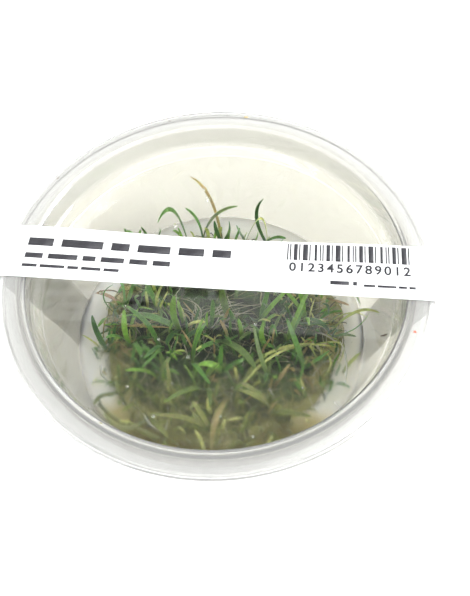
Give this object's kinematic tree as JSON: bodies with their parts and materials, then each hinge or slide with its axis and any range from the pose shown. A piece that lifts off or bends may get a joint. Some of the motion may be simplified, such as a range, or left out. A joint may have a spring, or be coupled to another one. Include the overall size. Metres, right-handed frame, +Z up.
{
  "type": "tissue culture cup with aquarium grass plants",
  "caption": "Clump of small grass-leaved aquarium plants growing on agar gel in a clear lidded cup, closed with a paper band.",
  "frame": {"origin": "middle of the cup's flat base, on the surface that it stands on", "axes": "+Z up out of the lid, +X along the paper band, +Y to the back of the cup"},
  "size_m": [0.1014, 0.1, 0.0455],
  "materials": {
    "cup_plastic": "clear moulded polypropylene, glossy",
    "lid_plastic": "clear moulded polypropylene, glossy, slightly milky at the rim",
    "band_paper": "white coated label stock with plain grey and black print",
    "agar": "pale tan cloudy gel, wet",
    "roots": "tangled wet roots, grey-brown",
    "leaves": "waxy strap leaves, light green to deep green, a few tan"
  },
  "bodies": {
    "root": {"cup": "cup_plastic", "lid": "lid_plastic", "label_band": "band_paper", "culture_gel": "agar", "root_mat": "roots", "plantlet_01": "leaves", "plantlet_02": "leaves", "plantlet_03": "leaves", "plantlet_04": "leaves", "plantlet_05": "leaves", "plantlet_06": "leaves", "plantlet_07": "leaves", "plantlet_08": "leaves", "plantlet_09": "leaves", "plantlet_10": "leaves", "plantlet_11": "leaves", "plantlet_12": "leaves", "plantlet_13": "leaves", "plantlet_14": "leaves", "plantlet_15": "leaves", "plantlet_16": "leaves", "plantlet_17": "leaves", "plantlet_18": "leaves", "plantlet_19": "leaves", "plantlet_20": "leaves", "plantlet_21": "leaves", "plantlet_22": "leaves", "plantlet_23": "leaves", "plantlet_24": "leaves", "plantlet_25": "leaves", "plantlet_26": "leaves", "plantlet_27": "leaves", "plantlet_28": "leaves", "plantlet_29": "leaves", "plantlet_30": "leaves", "plantlet_31": "leaves", "plantlet_32": "leaves", "plantlet_33": "leaves", "plantlet_34": "leaves", "plantlet_35": "leaves", "plantlet_36": "leaves", "plantlet_37": "leaves", "plantlet_38": "leaves", "plantlet_39": "leaves", "plantlet_40": "leaves", "plantlet_41": "leaves", "plantlet_42": "leaves", "plantlet_43": "leaves", "plantlet_44": "leaves", "plantlet_45": "leaves"}
  },
  "joints": []
}
